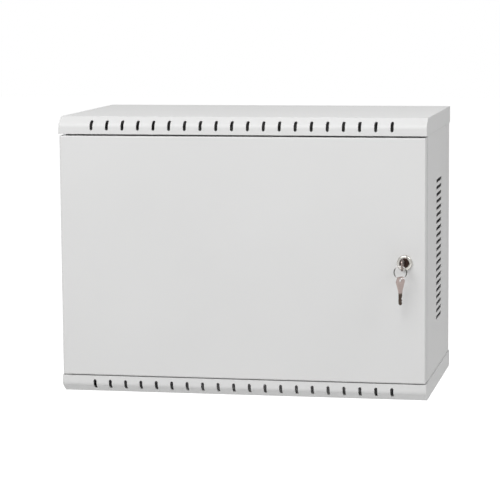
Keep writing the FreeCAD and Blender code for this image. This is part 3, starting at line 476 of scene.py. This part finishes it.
def solids_of(node):
    """The boxes of a node's separate solids, from the corners that its faces share."""
    mesh = nodes[node].data
    spots = [tuple(round(value, WELD_DIGITS) for value in corner.co) for corner in mesh.vertices]
    parents = {spot: spot for spot in spots}

    def root(spot):
        while parents[spot] != spot:
            parents[spot] = parents[parents[spot]]
            spot = parents[spot]
        return spot

    for face in mesh.polygons:
        first = root(spots[face.vertices[0]])
        for corner in face.vertices[1:]:
            parents[root(spots[corner])] = first
    groups = {}
    for spot in parents:
        groups.setdefault(root(spot), []).append(spot)
    boxes = [(Vector(map(min, zip(*group))), Vector(map(max, zip(*group))))
             for group in groups.values()]
    return sorted(boxes, key=lambda box: tuple(round(value, SORT_DIGITS) for value in box[0]))


def axis_way(axis, sign=1):
    way = Vector((0, 0, 0))
    way[axis] = sign
    return way


def pick_axis(pick, low, high):
    """The axis along which a box is longest, with max, or shortest, with min."""
    size = high - low
    return pick(range(3), key=lambda axis: size[axis])


def inward(low, high, axis):
    """The way along the axis from a solid to the cabinet's middle."""
    return axis_way(axis, 1 if cad_middle[axis] > (low[axis] + high[axis]) / 2 else -1)


def end_place(low, high, axis, way):
    """The middle of the solid's end that way points away from."""
    spot = (low + high) / 2
    spot[axis] = low[axis] if way[axis] > 0 else high[axis]
    return spot


def aimed(spot, way):
    """A frame at the spot whose +Z points along way."""
    turn = Vector(way).to_track_quat("Z", "Y").to_matrix().to_4x4()
    return Matrix.Translation(spot) @ turn


# ---- fasteners and buffers ----

M5_RADIUS, M5_PITCH = 0.0025, 0.0008
M6_RADIUS, M6_PITCH = 0.003, 0.001
LOCK_RADIUS = 0.009
BOLT_HEAD = 0.0035
# a buffer's flange and domed foot: shares of its radius and height
BUFFER = [(1.0, 0.0), (1.0, 0.22), (0.86, 0.3), (0.82, 0.72), (0.68, 0.92), (0.4, 1.0)]


def build(name, node, add_one):
    """One piece for a node of like solids: add_one adds the shape for each to the shell."""
    shell = bmesh.new()
    for low, high in solids_of(node):
        add_one(shell, low, high)
    add_piece(name, mesh_of(shell, name), node)


def nuts(name, node, bore):
    def add_one(shell, low, high):
        axis = pick_axis(min, low, high)
        way = inward(low, high, axis)
        # the hexagon has corners along its own Y, and the solid along its longest side
        corners = axis_way(pick_axis(max, low, high))
        turn = Matrix((corners.cross(way), corners, way)).transposed().to_4x4()
        to_world = Matrix.Translation(end_place(low, high, axis, way)) @ turn
        height, flats, _ = sorted(high - low)
        add_nut(shell, to_world, flats / 2, height, bore)
    build(name, node, add_one)


def studs(name, node, pitch):
    def add_one(shell, low, high):
        axis = pick_axis(max, low, high)
        way = inward(low, high, axis)
        thickness, _, length = sorted(high - low)
        to_world = aimed(end_place(low, high, axis, way), way)
        add_stud(shell, to_world, thickness / 2, length, pitch)
    build(name, node, add_one)


def add_rail_bolt(shell, low, high):
    way = -inward(low, high, 0)
    seat = end_place(low, high, 0, way) + way * BOLT_HEAD
    size = high - low
    add_socket_bolt(shell, aimed(seat, way), M6_RADIUS, size.x - BOLT_HEAD,
                    head_radius=size.y / 2, head=BOLT_HEAD, pitch=M6_PITCH)


def add_buffer(shell, low, high):
    """A rubber foot with a flange and a domed front, about -Y."""
    radius, height = (high.x - low.x) / 2, high.y - low.y
    spot = (low + high) / 2
    spot.y = high.y
    rings = [level(across * radius, along * height) for across, along in BUFFER]
    skin(shell, add_rings(shell, rings, aimed(spot, (0, -1, 0))), closed=False)


for group in ("cover", "back", "flange", "entry_plate"):
    nuts(f"{group}_hex_nuts", f"{group}_nuts", M5_RADIUS)
    studs(f"{group}_threaded_studs", f"{group}_studs", M5_PITCH)
for prefix in ("", "door_"):
    nuts(f"{prefix}earth_hex_nut", f"{prefix}earth_nut", M6_RADIUS)
    studs(f"{prefix}earth_threaded_stud", f"{prefix}earth_stud", M6_PITCH)
nuts("rail_hex_nuts", "rail_nuts", M6_RADIUS)
nuts("lock_hex_nut", "lock_nut", LOCK_RADIUS)
build("rail_button_bolts", "rail_bolts", add_rail_bolt)
build("rubber_buffers", "door_buffers", add_buffer)


# ---- wound wire ----

COIL_STEPS = 72
COIL_SIDES = 10


def wind(name, turns, radius, wire_out, wire_along, rise):
    """Wire wound about Z, wire_out and wire_along from its middle to its sides.

    rise gives the height at each share of the winding.
    """
    shell = bmesh.new()
    steps = turns * COIL_STEPS
    loops = []
    for step in range(steps + 1):
        turn = math.tau * step / COIL_STEPS
        middle = rise(step / steps)
        loop = []
        for side in range(COIL_SIDES):
            lean = math.tau * side / COIL_SIDES
            reach = radius + wire_out * math.cos(lean)
            height = middle + wire_along * math.sin(lean)
            loop.append(shell.verts.new((reach * math.cos(turn), reach * math.sin(turn), height)))
        loops.append(loop)
    skin(shell, loops, closed=False)
    return mesh_of(shell, name)


# ---- hinge spring ----

SPRING_WIRE_RADIUS = 0.0005
SPRING_TURNS = 5
SPRING_SLACK = 0.00002
CLOSED_ENDS = 0.9

spring_low, spring_high = map(Vector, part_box("upper_pin_spring"))
spring_middle = (spring_low + spring_high) / 2
spring_radius = (spring_high.x - spring_low.x) / 2 - SPRING_WIRE_RADIUS
spring_foot = spring_low.z + SPRING_SLACK
spring_head = spring_high.z - SPRING_SLACK
spring_rise = spring_head - spring_foot - 2 * SPRING_WIRE_RADIUS


def spring_height(share):
    """The coils lie close together at both ends."""
    return spring_rise * (share - CLOSED_ENDS * math.sin(math.tau * share) / math.tau)


spring_mesh = wind("wound_spring", SPRING_TURNS, spring_radius,
                   SPRING_WIRE_RADIUS, SPRING_WIRE_RADIUS, spring_height)
spring_mesh.transform(
    Matrix.Translation((spring_middle.x, spring_middle.y, spring_foot + SPRING_WIRE_RADIUS)))
spring = add_piece("wound_spring", spring_mesh, "upper_pin_spring")
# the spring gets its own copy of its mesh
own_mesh(spring)


# ---- keys ----

KEY_SHEET = 0.002
KEY_BEVEL = 0.0002
BEVEL_STEPS = 2
BOW_LENGTH = 0.024
HOLE_FROM_END = 0.0046
HOLE_RADIUS = 0.003
HOLE_STEPS = 32
SPARE_TWIST = -33.0
# half outlines of the key about its shoulder: how far along it, and how far to the side
BOW_SIDE = [
    (0.0, 0.0036), (-0.003, 0.0036), (-0.0158, 0.0085), (-0.0172, 0.00864), (-0.0184, 0.0084),
    (-0.0226, 0.0063), (-0.0236, 0.0053), (-0.024, 0.0038)]
CUT_EDGE = [
    (0.0165, 0.0012), (0.0145, 0.0028), (0.0131, 0.0028), (0.0122, 0.0019), (0.0111, 0.0019),
    (0.0102, 0.003), (0.009, 0.003), (0.0081, 0.0014), (0.007, 0.0014), (0.0061, 0.0025),
    (0.005, 0.0025), (0.0041, 0.003), (0.0, 0.003)]
PLAIN_EDGE = [(0.0165, 0.0012), (0.014, 0.003), (0.0, 0.003)]
# the curve's x, y and z are the key's Y, Z and X
CURVE_TO_KEY = Matrix(((0, 0, 1, 0), (1, 0, 0, 0), (0, 1, 0, 0), (0, 0, 0, 1)))


def make_key_mesh(name):
    """A flat key about its shoulder: blade along +Y, bow along -Y, width along Z."""
    far_side = [(along, -rise) for along, rise in reversed(PLAIN_EDGE + BOW_SIDE)]
    outline = CUT_EDGE + BOW_SIDE + far_side
    hole_place = HOLE_FROM_END - BOW_LENGTH
    turns = [math.tau * step / HOLE_STEPS for step in range(HOLE_STEPS)]
    hole = [(hole_place + HOLE_RADIUS * math.cos(turn), HOLE_RADIUS * math.sin(turn))
            for turn in turns]
    curve = bpy.data.curves.new(name, "CURVE")
    curve.dimensions = "2D"
    curve.fill_mode = "BOTH"
    curve.extrude = KEY_SHEET / 2 - KEY_BEVEL
    curve.bevel_depth = KEY_BEVEL
    curve.bevel_resolution = BEVEL_STEPS
    curve.offset = -KEY_BEVEL
    for loop in (outline, hole):
        spline = curve.splines.new("POLY")
        spline.points.add(len(loop) - 1)
        for point, (along, rise) in zip(spline.points, loop):
            point.co = (along, rise, 0, 1)
        spline.use_cyclic_u = True
    holder = add_object(name, curve)
    mesh = bpy.data.meshes.new_from_object(holder)
    bpy.data.objects.remove(holder)
    bpy.data.curves.remove(curve)
    mesh.transform(CURVE_TO_KEY)
    return mesh


def add_key(name, node, to_world, look=None):
    mesh = make_key_mesh(name)
    mesh.transform(to_world)
    add_piece(name, mesh, node, look)


lock_key_middle = middle_of(lock_key_box)
add_key("lock_key_cut", "lock_key",
        Matrix.Translation((lock_key_middle.x, lock_shoulder, lock_key_middle.z)), lock_key_shaded_look)
# the spare key hangs with its blade down, turned on the ring
spare_key_middle = middle_of(spare_key_box)
add_key("spare_key_cut", "spare_key",
        Matrix.Translation((spare_key_middle.x, spare_key_middle.y, spare_shoulder))
        @ Matrix.Rotation(math.radians(SPARE_TWIST), 4, "Z")
        @ Matrix.Rotation(math.radians(-90.0), 4, "X"))


# ---- split ring ----

RING_WIRE_RADIUS = 0.0008
RING_TURNS = 2
# the turns lie side by side in the CAD ring's wire: a turn's size out and along, as shares of it
TURN_OUT = 0.92
TURN_ALONG = 0.46
# the coil winds about its own Z, and the ring about Y
COIL_TO_RING = Matrix(((1, 0, 0, 0), (0, 0, 1, 0), (0, 1, 0, 0), (0, 0, 0, 1)))

ring_low, ring_high = map(Vector, ring_box)
ring_mesh = wind("split_ring", RING_TURNS, (ring_high.x - ring_low.x) / 2 - RING_WIRE_RADIUS,
                 TURN_OUT * RING_WIRE_RADIUS, TURN_ALONG * RING_WIRE_RADIUS,
                 lambda share: RING_WIRE_RADIUS * (share - 0.5))
ring_mesh.transform(Matrix.Translation(ring_middle) @ COIL_TO_RING)
ring_mesh.flip_normals()
add_piece("split_ring", ring_mesh, "key_ring")


# ---- stage ----

FLOOR_DROP = 0.42
FLOOR_SIZE = 30.0
FLOOR_COLOUR = (0.86, 0.86, 0.86)
FLOOR_LIFT = 0.84
AMBIENT = 0.22
WHITE = (1, 1, 1, 1)


def when_seen(tree, unseen, seen):
    """The number seen where the camera, a mirror or glass looks, and unseen for all other light."""
    path = tree.nodes.new("ShaderNodeLightPath")
    direct = path.outputs["Is Camera Ray"]
    for kind in ("Is Glossy Ray", "Is Transmission Ray"):
        either = tree.nodes.new("ShaderNodeMath")
        either.operation = "MAXIMUM"
        tree.links.new(direct, either.inputs[0])
        tree.links.new(path.outputs[kind], either.inputs[1])
        direct = either.outputs[0]
    number = tree.nodes.new("ShaderNodeMapRange")
    tree.links.new(direct, number.inputs["Value"])
    number.inputs["To Min"].default_value = unseen
    number.inputs["To Max"].default_value = seen
    return number.outputs[0]


def stage_material(name, colour, lift):
    """A matte surface that the camera and mirrors see lifted towards white, shadow and all."""
    look = Shader(name)
    tone = look.ramp(look.noise(3.0, detail=2.0), shade(colour, 0.99), colour, *NOISE_SPAN)
    look.set(Emission_Color=WHITE, Roughness=0.9, Specular_IOR_Level=0.0)
    look.link(when_seen(look.tree, 0.0, lift), look.surface.inputs["Emission Strength"])
    return look.finish(tone)


bpy.ops.mesh.primitive_plane_add(size=FLOOR_SIZE, location=(0, 0, cad_box[0][2] - FLOOR_DROP))
floor = bpy.context.object
floor.name = "floor"
floor.data.materials.append(stage_material("floor_white", FLOOR_COLOUR, FLOOR_LIFT))

world = bpy.data.worlds.new("studio")
scene.world = world
world.use_nodes = True
background = world.node_tree.nodes["Background"]
background.inputs["Color"].default_value = WHITE
world.node_tree.links.new(
    when_seen(world.node_tree, AMBIENT, 1.0), background.inputs["Strength"])

# each lamp's place, size and power; all are aimed at the cabinet's middle
LAMPS = {
    "key_light": ((-0.5, -2.6, 2.2), 1.8, 72.0),
    "top_light": ((0.0, -0.9, 2.6), 1.6, 2.5),
    "side_light": ((2.2, -1.0, 2.3), 1.6, 30.0),
}

for name, (place, size, power) in LAMPS.items():
    light = bpy.data.lights.new(name, "AREA")
    light.size = size
    light.energy = power
    lamp = add_object(name, light)
    lamp.location = place
    lamp.rotation_euler = (cad_middle - Vector(place)).to_track_quat("-Z", "Y").to_euler()

scene.view_settings.view_transform = "Standard"
